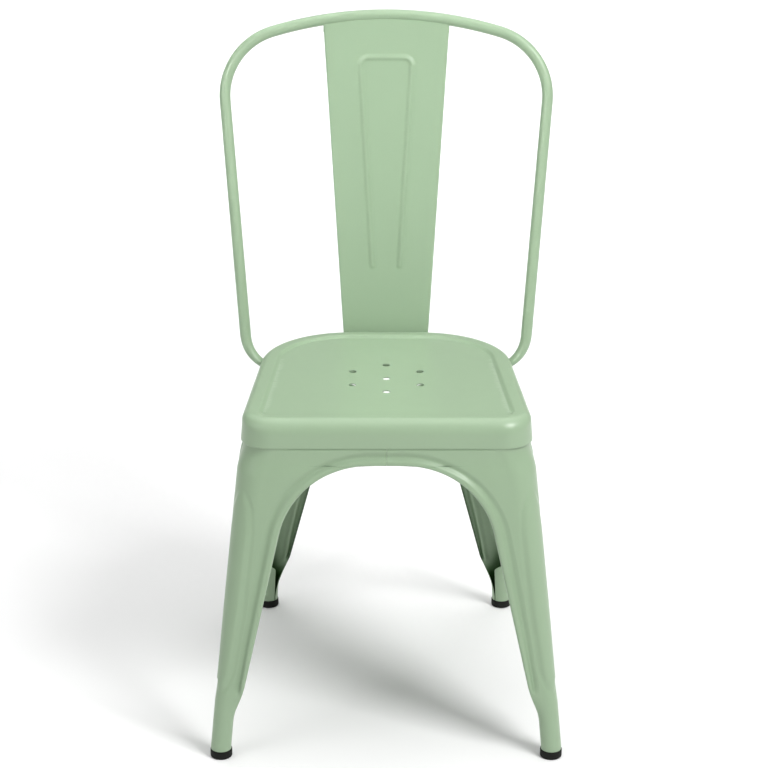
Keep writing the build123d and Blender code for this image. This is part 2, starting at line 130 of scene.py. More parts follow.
def shell(outer, inner):
    """Vertices and faces of a closed sheet between two grids of points."""
    rows, cols = len(outer), len(outer[0])
    verts = [p for row in outer for p in row] + [p for row in inner for p in row]
    far = rows * cols
    faces = []
    for i in range(rows - 1):
        for j in range(cols - 1):
            a, b = i * cols + j, i * cols + j + 1
            c, d = b + cols, a + cols
            faces.append((a, b, c, d))
            faces.append((far + d, far + c, far + b, far + a))
    for i in range(rows - 1):
        for j in (0, cols - 1):
            a, b = i * cols + j, (i + 1) * cols + j
            faces.append((a, b, far + b, far + a))
    for j in range(cols - 1):
        for i in (0, rows - 1):
            a, b = i * cols + j, i * cols + j + 1
            faces.append((a, b, far + b, far + a))
    return verts, faces


def ring_faces(rings, around):
    """Faces between neighbouring rings of points."""
    faces = []
    for i in range(rings - 1):
        for k in range(around):
            a, b = i * around + k, i * around + (k + 1) % around
            faces.append((a, b, b + around, a + around))
    return faces


# --- materials ----------------------------------------------------------------
def noise(tree, place, scale, detail):
    """Noise that sits still on the piece."""
    node = tree.nodes.new("ShaderNodeTexNoise")
    node.inputs["Scale"].default_value = scale
    node.inputs["Detail"].default_value = detail
    tree.links.new(place.outputs["Object"], node.inputs["Vector"])
    return node.outputs["Fac"]


def map_range(tree, value, source, target):
    """Carries a value from the source range over to the target range."""
    node = tree.nodes.new("ShaderNodeMapRange")
    node.inputs["From Min"].default_value = source[0]
    node.inputs["From Max"].default_value = source[1]
    node.inputs["To Min"].default_value = target[0]
    node.inputs["To Max"].default_value = target[1]
    tree.links.new(value, node.inputs["Value"])
    return node.outputs["Result"]


def mix_colours(tree, share, first, second):
    """Mixes two colours, each of them fixed or another node's output."""
    node = tree.nodes.new("ShaderNodeMix")
    node.data_type = "RGBA"
    tree.links.new(share, node.inputs["Factor"])
    for socket, colour in (("A", first), ("B", second)):
        if isinstance(colour, tuple):
            node.inputs[socket].default_value = colour
        else:
            tree.links.new(colour, node.inputs[socket])
    return node.outputs["Result"]


def bumps(tree, height, strength, distance):
    """Small bumps for a shader's normal, distance metres high at most."""
    node = tree.nodes.new("ShaderNodeBump")
    node.inputs["Strength"].default_value = strength
    node.inputs["Distance"].default_value = distance
    tree.links.new(height, node.inputs["Height"])
    return node.outputs["Normal"]


GREEN = (0.300, 0.412, 0.272)
# painted highlight: the pale green that sharp convex edges are lightened towards
PAINTED_HIGHLIGHT_GREEN = (0.80, 0.86, 0.78, 1.0)
# painted shade: the dark green that a piece's creases and hollows are darkened towards
PAINTED_SHADE_GREEN = (0.028, 0.085, 0.020, 1.0)
PAINTED_SHADE_REACH = 0.11         # how far, in metres, a hollow's own walls shade it
DARK_RUBBER = (0.006, 0.007, 0.006, 1.0)
DUSTY_RUBBER = (0.016, 0.017, 0.015, 1.0)


def powder_coat(name):
    """Satin powder coat: orange peel, faint mottling, painted highlights on the edges, painted shade
    in the hollows.
    """
    material = bpy.data.materials.new(name)
    material.use_nodes = True
    tree = material.node_tree
    links = tree.links
    shader = tree.nodes["Principled BSDF"]
    place = tree.nodes.new("ShaderNodeTexCoord")

    cloud = noise(tree, place, scale=14.0, detail=3.0)
    mottled = tree.nodes.new("ShaderNodeVectorMath")
    mottled.operation = "SCALE"
    mottled.inputs[0].default_value = GREEN
    links.new(map_range(tree, cloud, (0.0, 1.0), (0.985, 1.015)), mottled.inputs["Scale"])

    # painted shade: the colour darkens in a piece's own creases and hollows, where its own walls
    # shade it
    hollow = tree.nodes.new("ShaderNodeAmbientOcclusion")
    hollow.only_local = True
    hollow.inputs["Distance"].default_value = PAINTED_SHADE_REACH
    unshaded_share = map_range(tree, hollow.outputs["AO"], (0.35, 0.97), (0.0, 1.0))
    coat = mix_colours(tree, unshaded_share, PAINTED_SHADE_GREEN, mottled.outputs["Vector"])

    # painted highlight: sharp convex edges are lightened a little towards pale green
    surface = tree.nodes.new("ShaderNodeNewGeometry")
    edge = map_range(tree, surface.outputs["Pointiness"], (0.56, 0.68), (0.0, 0.10))
    links.new(mix_colours(tree, edge, coat, PAINTED_HIGHLIGHT_GREEN), shader.inputs["Base Color"])

    grain = noise(tree, place, scale=55.0, detail=4.0)
    links.new(map_range(tree, grain, (0.0, 1.0), (0.27, 0.36)), shader.inputs["Roughness"])
    peel = noise(tree, place, scale=620.0, detail=2.0)
    links.new(bumps(tree, peel, strength=0.12, distance=0.0004), shader.inputs["Normal"])
    shader.inputs["IOR"].default_value = 1.45
    return material


def black_rubber(name):
    """Matt moulded rubber with a fine grain and a little dust."""
    material = bpy.data.materials.new(name)
    material.use_nodes = True
    tree = material.node_tree
    links = tree.links
    shader = tree.nodes["Principled BSDF"]
    place = tree.nodes.new("ShaderNodeTexCoord")

    dust = noise(tree, place, scale=90.0, detail=5.0)
    ramp = tree.nodes.new("ShaderNodeValToRGB")
    ramp.color_ramp.elements[0].color = DARK_RUBBER
    ramp.color_ramp.elements[1].color = DUSTY_RUBBER
    links.new(dust, ramp.inputs["Fac"])
    links.new(ramp.outputs["Color"], shader.inputs["Base Color"])
    links.new(map_range(tree, dust, (0.0, 1.0), (0.55, 0.75)), shader.inputs["Roughness"])

    grain = noise(tree, place, scale=1500.0, detail=2.0)
    links.new(bumps(tree, grain, strength=0.2, distance=0.0003), shader.inputs["Normal"])
    shader.inputs["Specular IOR Level"].default_value = 0.15
    return material


green = powder_coat("powder_coat_green")
rubber = black_rubber("black_rubber")

# --- legs ---------------------------------------------------------------------
# Each leg's corner, where its outer faces would meet, is given as (x, y) inside the skirt's
# collar, at the skirt's edge and at the foot. Its radii are at the skirt, shoulder, spring
# and knee. The side face is turned by the seat's taper, and its apron ends at the side seam.
# The pairs are for the cross face and the side face: the arch's radius, the flange's width
# at the spring and knee, and the heights between which it closes.
FRONT_LEG = {
    "collar": (SEAT_FRONT_HALF - SHEET * FRONT_INSET, SEAT_FRONT_Y + SHEET),
    "skirt": (187.7, SEAT_FRONT_Y + SHEET),
    "foot": (224.2, SEAT_Y - 231.8),
    "radii": (SEAT_FRONT_RADIUS - SHEET, 36.0, 27.5, 15.5),
    "turn": SEAT_TAPER,
    "side_seam_y": SEAT_Y + SIDE_SEAM,
    "arch_radii": (113.0, 113.0),
    "flanges": ((61.9, 38.1), (61.9, 38.1)),
    "closing": ((98.0, 36.0), (96.0, 70.0)),
}
REAR_LEG = {
    "collar": (SEAT_REAR_HALF - SHEET * REAR_INSET, -(SEAT_REAR_Y - SHEET)),
    "skirt": (162.8, -(SEAT_REAR_Y - SHEET)),
    "foot": (183.0, -(SEAT_Y + 240.0)),
    "radii": (SEAT_REAR_RADIUS - SHEET, 104.0, 46.0, 16.5),
    "turn": -SEAT_TAPER,
    "side_seam_y": -(SEAT_Y + SIDE_SEAM),
    "arch_radii": (72.0, 113.0),
    "flanges": ((84.4, 47.7), (61.9, 38.1)),
    "closing": ((80.0, 17.0), (84.0, 62.0)),
}

LIP_HIGH = 2.6              # the rolled edge stands out this much
LIP_TUCK = 2.2              # and its very edge turns in this much
LIP_NOSE = 0.24             # share of the lip's width that rolls over
LIP_CROWN = 0.46            # share of it before the lip falls to the valley
LIP_HEIGHTS = (84.0, 100.0, 150.0, 220.0, 300.0, 380.0)
LIP_WIDTHS = (6.0, 8.0, 11.0, 13.0, 15.0, 12.0)
LIP_RUN_OUT = 14.0          # the lip ends this far below where its flange starts to close
LIP_FADE = 12.0
VALLEY_DEEP = 1.3
VALLEY_WIDE = 7.0

# how far from the leg's corner the ridge ends at these heights
SPINE_HEIGHTS = (84.0, 95.0, 118.0, 190.0, 298.0, 325.0, 345.0, 352.0)
SPINE_REACHES = (2.0, 13.0, 21.0, 26.4, 28.5, 24.0, 12.0, 2.0)
SPINE_LOW_FADE = 16.0
SPINE_TOP_FADE = 20.0
RIDGE_HIGH = 1.1
RIDGE_FLANK = 11.0
GROOVE_DEEP = 0.7
GROOVE_WIDE = 5.0

JOGGLE = 1.0                # the apron stands out this much below the skirt's edge
JOGGLE_DROP = 0.4           # it starts this far below the hem
JOGGLE_RUN = 2.2            # and takes this much height to come out
JOGGLE_LOW_Z = 290.0        # it has faded away down here
JOGGLE_FADE = 80.0
JOGGLE_SIDE = 25.0          # it grows over this width from the rounded corner

SLIT_AT = 135.0             # where the tube's open seam faces, in degrees
SLIT_HALF = 3.0
SLIT_HEIGHTS = (FOOT_Z, 30.0, 50.0, 75.0)   # the cross face's edge is further off higher up
SLIT_GAPS = (3.0, 8.0, 22.0, 38.0)
LEAST_WIDTH = 1.9 * TUBE_RADIUS


def corner_line(leg, z):
    """Where the leg's outer faces meet, carried straight up past the shoulder."""
    share = (SKIRT_Z - max(z, FOOT_Z)) / (SKIRT_Z - FOOT_Z)
    return np.array([mix(a, b, share) for a, b in zip(leg["skirt"], leg["foot"])])


def leg_corner(leg, z):
    """Where the leg's outer faces meet at height z."""
    tuck = smooth((z - TUCK_FROM_Z) / (TUCK_TO_Z - TUCK_FROM_Z))
    return mix(corner_line(leg, z), np.array(leg["collar"]), tuck)


def leg_radius(leg, z):
    heights = (ANKLE_Z, KNEE_Z, SPRING_Z, SHOULDER_Z, SKIRT_Z)
    return float(np.interp(z, heights, (TUBE_RADIUS,) + leg["radii"][::-1]))


def tube_middle(corner):
    return corner + np.array([-TUBE_RADIUS, TUBE_RADIUS])


def spoke_at(angle):
    return np.array([math.cos(angle), math.sin(angle)])


def lip_height(d, z, lip_end):
    """How far the rolled edge and the valley beside it stand off the face."""
    width = float(np.interp(z, LIP_HEIGHTS, LIP_WIDTHS))
    strength = smooth((z - lip_end) / LIP_FADE)
    nose = LIP_NOSE * width
    crown = LIP_CROWN * width
    d = max(d, 0.0)
    if d < nose:
        rise = math.sqrt(max(1.0 - ((nose - d) / nose) ** 2, 0.0))
        return strength * mix(-LIP_TUCK, LIP_HIGH, rise)
    if d < crown:
        return strength * LIP_HIGH
    if d < width:
        fall = 0.5 * (1.0 + math.cos(math.pi * (d - crown) / (width - crown)))
        return strength * mix(-VALLEY_DEEP, LIP_HIGH, fall)
    return -strength * VALLEY_DEEP * (1.0 - smooth((d - width) / VALLEY_WIDE))


def spine_height(reach, z):
    """Height of the ridge along the leg's corner and of the groove along its boundary."""
    fade = smooth((z - SPINE_HEIGHTS[0]) / SPINE_LOW_FADE)
    fade *= smooth((SPINE_HEIGHTS[-1] - z) / SPINE_TOP_FADE)
    inside = float(np.interp(z, SPINE_HEIGHTS, SPINE_REACHES)) - reach
    if inside > 0.0:
        return fade * mix(-GROOVE_DEEP, RIDGE_HIGH, smooth(inside / RIDGE_FLANK))
    return -fade * GROOVE_DEEP * (1.0 - smooth(-inside / GROOVE_WIDE))


# Where the points lie across a face, counted from its free edge, then evenly to the corner.
EDGE_STEPS = (0, 0.25, 0.7, 1.4, 2.2, 3.2, 4.2, 5.4, 6.7, 8, 9.4, 10.8, 12.2, 13.8, 15.6, 17.6, 20)
EDGE_SHARE = 0.7            # they take at most this share of a narrow face
FACE_STEPS = 34
CORNER_STEPS = 40


class Face:
    """One outer face of a leg: its arch, its rolled edge and how it closes into the tube."""

    def __init__(self, leg, side):
        which = 1 if side else 0
        turn = leg["turn"]
        self.leg = leg
        self.side = side
        self.spring, self.knee = leg["flanges"][which]
        self.close_from, self.close_to = leg["closing"][which]
        self.radius = leg["arch_radii"][which]
        if side:
            self.way = np.array([-math.sin(turn), math.cos(turn)])
            self.out = np.array([math.cos(turn), math.sin(turn)])
        else:
            self.way = np.array([-1.0, 0.0])
            self.out = np.array([0.0, -1.0])
        # the leg leans, so a height is longer along the face than upright
        self.high = corner_line(leg, APRON_Z)
        low = corner_line(leg, SPRING_Z)
        up = np.array([*(self.high - low), APRON_Z - SPRING_Z])
        up /= np.linalg.norm(up)
        way = np.array([*self.way, 0.0])
        rise = up - way * up.dot(way)
        self.rise = rise[2] / np.linalg.norm(rise)
        if side:
            self.seam = (leg["side_seam_y"] - self.high[1]) / self.way[1]
        else:
            self.seam = self.high[0]
        # the arch's edge is an arc down to arc_low_v and then the line u = meet + slope * v
        low_u, low_v = self.place(SPRING_Z, self.flange_width(SPRING_Z))
        top_u, top_v = self.place(APRON_Z, self.flange_width(APRON_Z))
        self.slope = (low_u - top_u) / (low_v - top_v)
        self.meet = top_u - self.slope * top_v
        self.bend = math.pi / 2 + math.atan(self.slope)
        self.arc_u = self.meet - self.radius * math.tan(self.bend / 2)
        self.arc_low_v = -self.radius * (1 - math.cos(self.bend))

    def flange_width(self, z):
        return self.knee + (self.spring - self.knee) / (SPRING_Z - KNEE_Z) * (z - KNEE_Z)

    def closed(self, z):
        """0 where the flange is flat, 1 where it's wrapped round into the tube."""
        return smooth((self.close_from - z) / (self.close_from - self.close_to))

    def seam_reach(self, z):
        """Distance from the corner to the seam in the middle of the apron."""
        corner = leg_corner(self.leg, z)
        if self.side:
            return (self.leg["side_seam_y"] - corner[1]) / self.way[1] - SEAM_HALF
        return corner[0] - SEAM_HALF

    def place(self, z, reach):
        """In the face: u from the seam towards the corner, v up from the arch's top."""
        corner = corner_line(self.leg, z)
        u = self.seam - reach - float((corner - self.high).dot(self.way))
        return u, (z - APRON_Z) / self.rise

    def edge(self, z):
        """How far the free edge lies from the corner at height z."""
        corner_u, v = self.place(z, 0.0)
        if v > 0.0:
            return self.seam_reach(z)
        if v > self.arc_low_v:
            edge_u = self.arc_u + math.sqrt(max(self.radius**2 - (v + self.radius) ** 2, 0.0))
        else:
            edge_u = self.meet + self.slope * v
        return corner_u - edge_u

    def from_edge(self, z, reach):
        """Distance of a point from the arch's edge."""
        u, v = self.place(z, reach)
        if u <= self.arc_u:
            return v
        du, dv = u - self.arc_u, v + self.radius
        if math.atan2(du, dv) <= self.bend:
            return math.hypot(du, dv) - self.radius
        return (u - self.meet - self.slope * v) / math.hypot(1.0, self.slope)

    def tube_angles(self, z):
        """Where its free edge and its corner come to lie round the tube, in degrees."""
        if self.side:
            return SLIT_AT - SLIT_HALF, math.degrees(self.leg["turn"])
        gap = float(np.interp(z, SLIT_HEIGHTS, SLIT_GAPS))
        return SLIT_AT - 360.0 + gap, -90.0

    def points(self, z, bend_reach):
        """(point, normal) pairs from the free edge to the start of the rounded corner."""
        corner = leg_corner(self.leg, z)
        closed = self.closed(z)
        lip_end = self.close_from - LIP_RUN_OUT
        free, end = self.tube_angles(z)
        stand = JOGGLE * smooth((HEM_Z - JOGGLE_DROP - z) / JOGGLE_RUN)
        stand *= smooth((z - JOGGLE_LOW_Z) / JOGGLE_FADE)
        wide = max(self.edge(z), LEAST_WIDTH)
        long = wide - bend_reach
        scale = min(1.0, EDGE_SHARE * long / EDGE_STEPS[-1])
        steps = [step * scale for step in EDGE_STEPS]
        steps += evenly(steps[-1], long, FACE_STEPS)
        found = []
        for step in steps:
            reach = wide - step
            high = lip_height(self.from_edge(z, reach), z, lip_end)
            high += spine_height(reach, z) + stand * smooth((reach - bend_reach) / JOGGLE_SIDE)
            spoke = spoke_at(math.radians(mix(free, end, step / long)))
            normal = mix(self.out, spoke, closed)
            normal /= np.linalg.norm(normal)
            on_tube = tube_middle(corner) + spoke * TUBE_RADIUS
            point = mix(corner + self.way * reach, on_tube, closed)
            found.append((point + normal * high * (1 - closed), normal))
        return found


def leg_faces(leg):
    """The leg's cross face, at the front or rear, and its side face."""
    return Face(leg, False), Face(leg, True)


# The heights of the legs' mesh rows, close together at the hem, the lip and the ankle.
COLLAR_ROWS = (COLLAR_TOP_Z, 419.0, 412.0, 407.0, 405.0, 404.0)
HEM_ROWS = (*np.linspace(403.4, 400.2, 9), 399.6, 398.9, 398.0, 397.0, 396.0)
LIP_ROWS = (13.8, 12.6, 11.4, 10.2, 9.0, 7.8, 6.7, 5.6, 4.6, 3.7, 2.9, 2.1, 1.4, 0.8, 0.4, 0.15, 0.0)
ARCH_ROWS = 83
ARCH_ROWS_TURN = 1.33       # the rows follow the arch this far round, in radians
ARCH_ROWS_SHARE = 0.985
STRAIGHT_ROWS = 61
CLOSING_TOP_Z = 104.0
CLOSING_ROWS = 51
CLOSING_LOW_Z = 40.0
ANKLE_ROWS = 11
TUBE_ROWS = (11.0, 8.0, TUBE_END_Z)


def leg_rows():
    rows = [*COLLAR_ROWS, *HEM_ROWS]
    rows += [APRON_Z + step for step in LIP_ROWS]
    radius = FRONT_LEG["arch_radii"][0]
    turns = evenly(0.0, ARCH_ROWS_TURN, ARCH_ROWS)
    rows += [APRON_Z - radius * (1 - math.cos(turn)) * ARCH_ROWS_SHARE for turn in turns]
    rows += evenly(rows[-1], CLOSING_TOP_Z, STRAIGHT_ROWS)
    rows += evenly(CLOSING_TOP_Z, CLOSING_LOW_Z, CLOSING_ROWS)
    rows += evenly(CLOSING_LOW_Z, FOOT_Z, ANKLE_ROWS)
    rows += TUBE_ROWS
    return rows


def corner_points(leg, faces, z, reach):
    """(point, normal) pairs round the leg's rounded corner, without its ends."""
    corner = leg_corner(leg, z)
    radius = leg_radius(leg, z)
    centre = corner + faces[0].way * reach - faces[0].out * radius
    found = []
    for i in range(1, CORNER_STEPS):
        share = i / CORNER_STEPS
        closed = mix(faces[0].closed(z), faces[1].closed(z), share)
        spoke = spoke_at(mix(-math.pi / 2, leg["turn"], share))
        high = spine_height(reach * abs(2 * share - 1), z)
        on_tube = tube_middle(corner) + spoke * TUBE_RADIUS
        point = mix(centre + spoke * radius, on_tube, closed)
        found.append((point + spoke * high * (1 - closed), spoke))
    return found


def leg_row(leg, faces, z):
    """Outer and inner points of the leg's sheet at height z, edge to edge."""
    reach = leg_radius(leg, z) / math.tan((math.pi / 2 - leg["turn"]) / 2)
    row = faces[0].points(z, reach)
    row += corner_points(leg, faces, z, reach)
    row += faces[1].points(z, reach)[::-1]
    outer = [(p[0], p[1], z) for p, n in row]
    inner = [(p[0] - n[0] * SHEET, p[1] - n[1] * SHEET, z) for p, n in row]
    if z > APRON_Z:
        # the sheets touch at the back of the seam, which leaves a fine groove in front
        for k, way in ((0, faces[0].way), (-1, faces[1].way)):
            x, y, _ = inner[k]
            inner[k] = (x + way[0] * SEAM_HALF, y + way[1] * SEAM_HALF, z)
    return outer, inner


def flip(points, x, y):
    return [[(p[0] * x, p[1] * y, p[2]) for p in row] for row in points]


def make_legs():
    for where, leg, y in (("front", FRONT_LEG, 1), ("rear", REAR_LEG, -1)):
        faces = leg_faces(leg)
        rows = [leg_row(leg, faces, z) for z in leg_rows()]
        outer = [row[0] for row in rows]
        inner = [row[1] for row in rows]
        for hand, x in (("right", 1), ("left", -1)):
            name = f"{where}_{hand}_leg"
            verts, quads = shell(flip(outer, x, y), flip(inner, x, y))
            obj = new_object(f"{name}_pressing", verts, quads, green, [name])
            round_edges(obj)


make_legs()

# --- seat ---------------------------------------------------------------------
RIM_WIDTH = 20.0
STEP_WIDTH = 7.0            # of the slope between the rim and the panel
ROLL_SIDE = 11.0            # size of the rolled edge at the sides and back
ROLL_FRONT = (17.0, 20.0)   # inwards and downwards at the front
HEM_LOW = 0.1
HEM_ROUND = 0.35
HEM_RISE = 0.4
SKIRT_CURVE = 1.3           # how fast the flare dies away upwards
SKIRT_ROWS = 12
ROLL_ROWS = 14
RIM_ROWS = 5
STEP_ROWS = 10
PANEL_DROP = 3.2
PANEL_DISH = 2.2            # the panel's middle lies this much lower than its edge
DISH_HALF = (SEAT_REAR_HALF - 12.0, 155.0)
HOLE_CIRCLE = 51.0
HOLE_RADIUS = 5.0
HOLE_STEPS = 40
HOLE_RINGS = (1.3, 2.8, 5.0)
NET_SPACING = 5.0
NET_COUNT = 36              # grid points each way from the middle
NET_FROM_HOLE = 7.0
NET_FROM_STEP = 3.0
OUTLINE_SPACING = (3.0, 4.0)    # along the outline's arcs and straights


def outward(edge, inside):
    """Unit normal of an edge, pointing away from the inside."""
    normal = np.array([-edge[1], edge[0]])
    return -normal if normal.dot(-inside) < 0 else normal


def seat_arcs():
    """Start, end, centre, radius and the two end normals of each of the seat's corners."""
    corners = (
        (SEAT_FRONT_HALF, SEAT_FRONT_Y, SEAT_FRONT_RADIUS),
        (SEAT_REAR_HALF, SEAT_REAR_Y, SEAT_REAR_RADIUS),
        (-SEAT_REAR_HALF, SEAT_REAR_Y, SEAT_REAR_RADIUS),
        (-SEAT_FRONT_HALF, SEAT_FRONT_Y, SEAT_FRONT_RADIUS),
    )
    arcs = []
    for i, (x, y, radius) in enumerate(corners):
        here = np.array([x, y])
        before = np.array(corners[i - 1][:2]) - here
        after = np.array(corners[(i + 1) % len(corners)][:2]) - here
        before /= np.linalg.norm(before)
        after /= np.linalg.norm(after)
        reach = radius / math.tan(math.acos(float(before.dot(after))) / 2)
        start = here + before * reach
        end = here + after * reach
        first = outward(before, before + after)
        last = outward(after, before + after)
        arcs.append((start, end, start - first * radius, radius, first, last))
    return arcs


def seat_outline():
    """Points and outward normals round the seat, from its right front corner."""
    arcs = seat_arcs()
    points, normals = [], []
    for i, (_, end, centre, radius, first, last) in enumerate(arcs):
        a = math.atan2(first[1], first[0])
        b = math.atan2(last[1], last[0])
        if b < a:
            b += 2 * math.pi
        steps = max(int((b - a) * radius / OUTLINE_SPACING[0]), 24)
        for k in range(steps):
            spoke = spoke_at(mix(a, b, k / steps))
            points.append(centre + spoke * radius)
            normals.append(spoke)
        next_start = arcs[(i + 1) % len(arcs)][0]
        steps = max(int(np.linalg.norm(next_start - end) / OUTLINE_SPACING[1]), 4)
        for k in range(steps):
            points.append(mix(end, next_start, k / steps))
            normals.append(last)
    return points, normals


def inside_seat(x, y, inset):
    """Whether a point lies within the seat's outline moved inwards by inset."""
    x = abs(x)
    normal = (math.cos(SEAT_TAPER), math.sin(SEAT_TAPER))
    side = (x - SEAT_FRONT_HALF) * normal[0] + (y - SEAT_FRONT_Y) * normal[1]
    if max(side, SEAT_FRONT_Y - y, y - SEAT_REAR_Y) > -inset:
        return False
    corners = (
        (SEAT_FRONT_HALF, SEAT_FRONT_Y, SEAT_FRONT_RADIUS, 1.0),
        (SEAT_REAR_HALF, SEAT_REAR_Y, SEAT_REAR_RADIUS, -1.0),
    )
    for corner_x, corner_y, radius, way in corners:
        half = (math.pi / 2 - way * SEAT_TAPER) / 2
        centre_x = corner_x - radius / math.tan(half)
        centre_y = corner_y + way * radius
        beyond = x > centre_x and (y - centre_y) * way < 0
        if beyond and math.hypot(x - centre_x, y - centre_y) > radius - inset:
            return False
    return True


def seat_profile(normal):
    """(inset, height) pairs from the skirt's lower edge over the rim to the panel."""
    # the wide front roll and the flare of the sides fade out round the corners
    front = smooth(max(-normal[1], 0.0) * 1.25 - 0.25)
    flare = HEM_FLARE * smooth(abs(normal[0]) * 1.3)
    roll_in = mix(ROLL_SIDE, ROLL_FRONT[0], front)
    roll_down = mix(ROLL_SIDE, ROLL_FRONT[1], front)
    profile = [(HEM_TURN - flare, HEM_Z - HEM_LOW), (HEM_ROUND - flare, HEM_Z)]
    for k in range(SKIRT_ROWS):
        share = k / SKIRT_ROWS
        here = flare * (1.0 - share) ** SKIRT_CURVE
        profile.append((-here, mix(HEM_Z + HEM_RISE, RIM_Z - roll_down, share)))
    for k in range(ROLL_ROWS + 1):
        a = math.pi / 2 * k / ROLL_ROWS
        profile.append((roll_in * (1 - math.cos(a)), RIM_Z - roll_down * (1 - math.sin(a))))
    for k in range(1, RIM_ROWS + 1):
        profile.append((mix(roll_in, RIM_WIDTH, k / RIM_ROWS), RIM_Z))
    for k in range(1, STEP_ROWS + 1):
        share = k / STEP_ROWS
        profile.append((RIM_WIDTH + STEP_WIDTH * share, RIM_Z - PANEL_DROP * smooth(share)))
    return profile


def hole_middles():
    """One drain hole in the middle and six round it."""
    middles = [(0.0, SEAT_Y)]
    for k in range(6):
        a = math.radians(90 + 60 * k)
        middles.append((HOLE_CIRCLE * math.cos(a), SEAT_Y + HOLE_CIRCLE * math.sin(a)))
    return middles


def panel_net(rim):
    """A fine triangle net between the panel's rim and the seven holes.

    Gives its points, its triangles and, for each point, the points that it came from."""
    points = list(rim)
    loops = [list(range(len(rim)))]
    middles = hole_middles()
    for x, y in middles:
        loops.append(list(range(len(points), len(points) + HOLE_STEPS)))
        points += circle(x, y, HOLE_RADIUS, HOLE_STEPS)
    # loose points keep the triangles small, with three rings round each hole
    for x, y in middles:
        for grow in HOLE_RINGS:
            points += circle(x, y, HOLE_RADIUS + grow, HOLE_STEPS, 0.5)
    for i in range(-NET_COUNT, NET_COUNT + 1):
        for j in range(-NET_COUNT, NET_COUNT + 1):
            x, y = i * NET_SPACING, SEAT_Y + j * NET_SPACING
            if any(math.dist((x, y), m) < HOLE_RADIUS + NET_FROM_HOLE for m in middles):
                continue
            if inside_seat(x, y, RIM_WIDTH + STEP_WIDTH + NET_FROM_STEP):
                points.append((x, y))
    edges = []
    for loop in loops:
        edges += [(loop[k], loop[(k + 1) % len(loop)]) for k in range(len(loop))]
    flat = [Vector(point) for point in points]
    result = geometry.delaunay_2d_cdt(flat, edges, [], 0, 1e-4)
    net, triangles, origins = result[0], result[2], result[3]
    # the triangles in the holes are left out
    kept = []
    for triangle in triangles:
        middle = sum((net[v] for v in triangle), Vector((0, 0))) / len(triangle)
        if all(math.dist(middle, m) >= HOLE_RADIUS * 0.98 for m in middles):
            kept.append(triangle)
    return net, kept, origins


def panel_height(x, y):
    off = math.hypot(x / DISH_HALF[0], (y - SEAT_Y) / DISH_HALF[1])
    return RIM_Z - PANEL_DROP - PANEL_DISH * (1.0 - smooth(off))


def make_seat():
    points, normals = seat_outline()
    profiles = [seat_profile(normal) for normal in normals]
    around, levels = len(points), len(profiles[0])
    verts = []
    for level in range(levels):
        for point, normal, profile in zip(points, normals, profiles):
            inset, z = profile[level]
            flat = point - normal * inset
            verts.append((flat[0], flat[1], z))
    faces = ring_faces(levels, around)
    first = (levels - 1) * around
    net, triangles, origins = panel_net([vert[:2] for vert in verts[first:]])
    index = {}
    for new, old in enumerate(origins):
        if old and old[0] < around:
            index[new] = first + old[0]
        else:
            index[new] = len(verts)
            x, y = net[new]
            verts.append((x, y, panel_height(x, y)))
    faces += [tuple(index[v] for v in triangle) for triangle in triangles]
    obj = new_object("seat_pan_pressing", verts, faces, green, ["seat_pan"])
    skin = obj.modifiers.new("sheet", "SOLIDIFY")
    skin.thickness = SHEET * MM
    skin.offset = -1.0
    skin.use_even_offset = True
    round_edges(obj, width=0.5)


make_seat()

# --- hoop ---------------------------------------------------------------------
HOOP_RADIUS = 7.5
HOOP_LEAN = math.radians(17.74)
HOOP_BASE = np.array([0.0, SEAT_Y + 130.0, 460.0])
HOOP_BASE_HALF = 191.4
HOOP_SPREAD = 0.0858        # how fast the sides open, per mm of length
HOOP_LENGTH = 423.0         # from the base to the middle of the crown, along the lean
HOOP_CROWN_RADIUS = 540.0
HOOP_CORNER_RADIUS = 90.0
HOOP_STRAIGHT = 8.0         # the sides stay straight this far below the base
HOOP_END_Z = 408.0
HOOP_END_TURN = math.radians(26.0)
HOOP_END_SINK = 0.4         # the middle line ends this far inside the skirt's surface
HOOP_END_BEND = 34.0        # the end's bend is pulled this far down along the tube
HOOP_END_REACH = (9.0, 4.0)     # and this far outwards and upwards from the skirt
HOOP_END_SHARES = (0.0, 0.35, 0.7, 1.0)
HOOP_END_WIDE = (HOOP_RADIUS, 8.5, 10.0, 11.0)      # half sizes of the flattened tube
HOOP_END_DEEP = (HOOP_RADIUS, 6.5, 4.8, 3.5)
HOOP_CROWN_ROWS = 30
HOOP_CORNER_ROWS = 39
HOOP_SIDE_ROWS = 39
HOOP_END_ROWS = 25
HOOP_AROUND = 36


def on_hoop(x, y):
    """A point of the hoop's leaning plane, in the row frame."""
    return HOOP_BASE + np.array([x, y * math.sin(HOOP_LEAN), y * math.cos(HOOP_LEAN)])


def hoop_corner(crown_y, side_angle):
    """Centre of the top right corner's arc, beside the tube's side and inside the crown's arc."""
    gap = HOOP_CROWN_RADIUS - HOOP_CORNER_RADIUS
    line_x = HOOP_BASE_HALF - HOOP_CORNER_RADIUS / math.cos(side_angle)
    square = 1 + HOOP_SPREAD**2
    half_linear = line_x * HOOP_SPREAD - crown_y
    constant = line_x**2 + crown_y**2 - gap**2
    root = math.sqrt(half_linear * half_linear - square * constant)
    corner_y = (-half_linear + root) / square
    return line_x + HOOP_SPREAD * corner_y, corner_y


